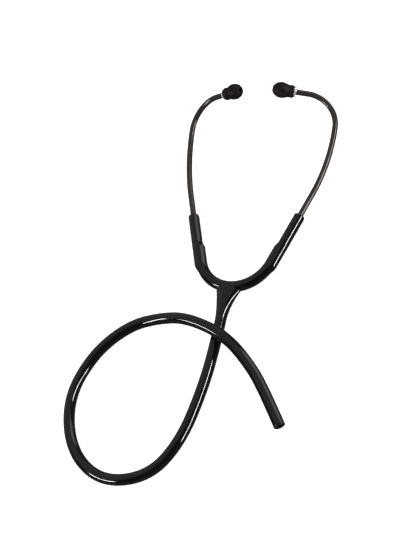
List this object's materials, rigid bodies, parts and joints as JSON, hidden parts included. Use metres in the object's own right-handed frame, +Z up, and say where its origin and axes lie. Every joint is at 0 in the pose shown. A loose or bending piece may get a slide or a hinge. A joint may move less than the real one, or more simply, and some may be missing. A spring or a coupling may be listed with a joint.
{
  "type": "stethoscope headset",
  "caption": "Sprung binaural stethoscope headset with soft ear tips on curved metal ear tubes and a long open-ended black sound tube.",
  "frame": {"origin": "on the surface that the headset lies on, under the middle of the headset's box, the tubing left out", "axes": "+X across the headset to its right, +Y from the yoke up to the ear tips, +Z up from the surface"},
  "size_m": [0.1955, 0.3608, 0.0438],
  "materials": {
    "black_pvc": "glossy soft vinyl",
    "smoke_metal": "polished, dark smoke coating",
    "polished_metal": "polished",
    "spring_steel": "rolled",
    "hard_nylon": "moulded",
    "soft_tip_rubber": "soft matte silicone"
  },
  "bodies": {
    "root": {"yoke": "black_pvc", "leaf_spring": "spring_steel", "main_tube": "black_pvc"},
    "arm_left": {"arm_sleeve_left": "black_pvc"},
    "ear_tube_left": {"ear_tube_left": "smoke_metal", "ferrule_left": "polished_metal"},
    "ear_tip_left": {"ear_tip_left": "soft_tip_rubber", "ear_tip_insert_left": "hard_nylon"},
    "arm_right": {"arm_sleeve_right": "black_pvc"},
    "ear_tube_right": {"ear_tube_right": "smoke_metal", "ferrule_right": "polished_metal"},
    "ear_tip_right": {"ear_tip_right": "soft_tip_rubber", "ear_tip_insert_right": "hard_nylon"}
  },
  "joints": [
    {"name": "arm_right_spread", "type": "hinge", "parent": "root", "child": "arm_right", "pos_m": [0.02102, -0.06605, 0.00475], "axis": [0, 0, -1], "range_deg": [-2, 25], "stiffness_Nm_per_rad": 2, "deforming": ["yoke", "leaf_spring"]},
    {"name": "arm_left_spread", "type": "hinge", "parent": "root", "child": "arm_left", "pos_m": [-0.02102, -0.06605, 0.00475], "axis": [0, 0, 1], "range_deg": [-2, 25], "stiffness_Nm_per_rad": 2, "deforming": ["yoke", "leaf_spring"]},
    {"name": "ear_tube_right_turn", "type": "hinge", "parent": "arm_right", "child": "ear_tube_right", "pos_m": [0.04838, -0.00584, 0.00475], "axis": [0.3256, 0.9455, 0], "range_deg": [-15, 30]},
    {"name": "ear_tube_left_turn", "type": "hinge", "parent": "arm_left", "child": "ear_tube_left", "pos_m": [-0.04838, -0.00584, 0.00475], "axis": [0.3256, -0.9455, 0], "range_deg": [-15, 30]},
    {"name": "ear_tip_right_pull", "type": "slide", "parent": "ear_tube_right", "child": "ear_tip_right", "axis": [-0.9032, -0.0749, 0.4227], "range_m": [0, 0.009]},
    {"name": "ear_tip_left_pull", "type": "slide", "parent": "ear_tube_left", "child": "ear_tip_left", "axis": [0.9032, -0.0749, 0.4227], "range_m": [0, 0.009]}
  ]
}
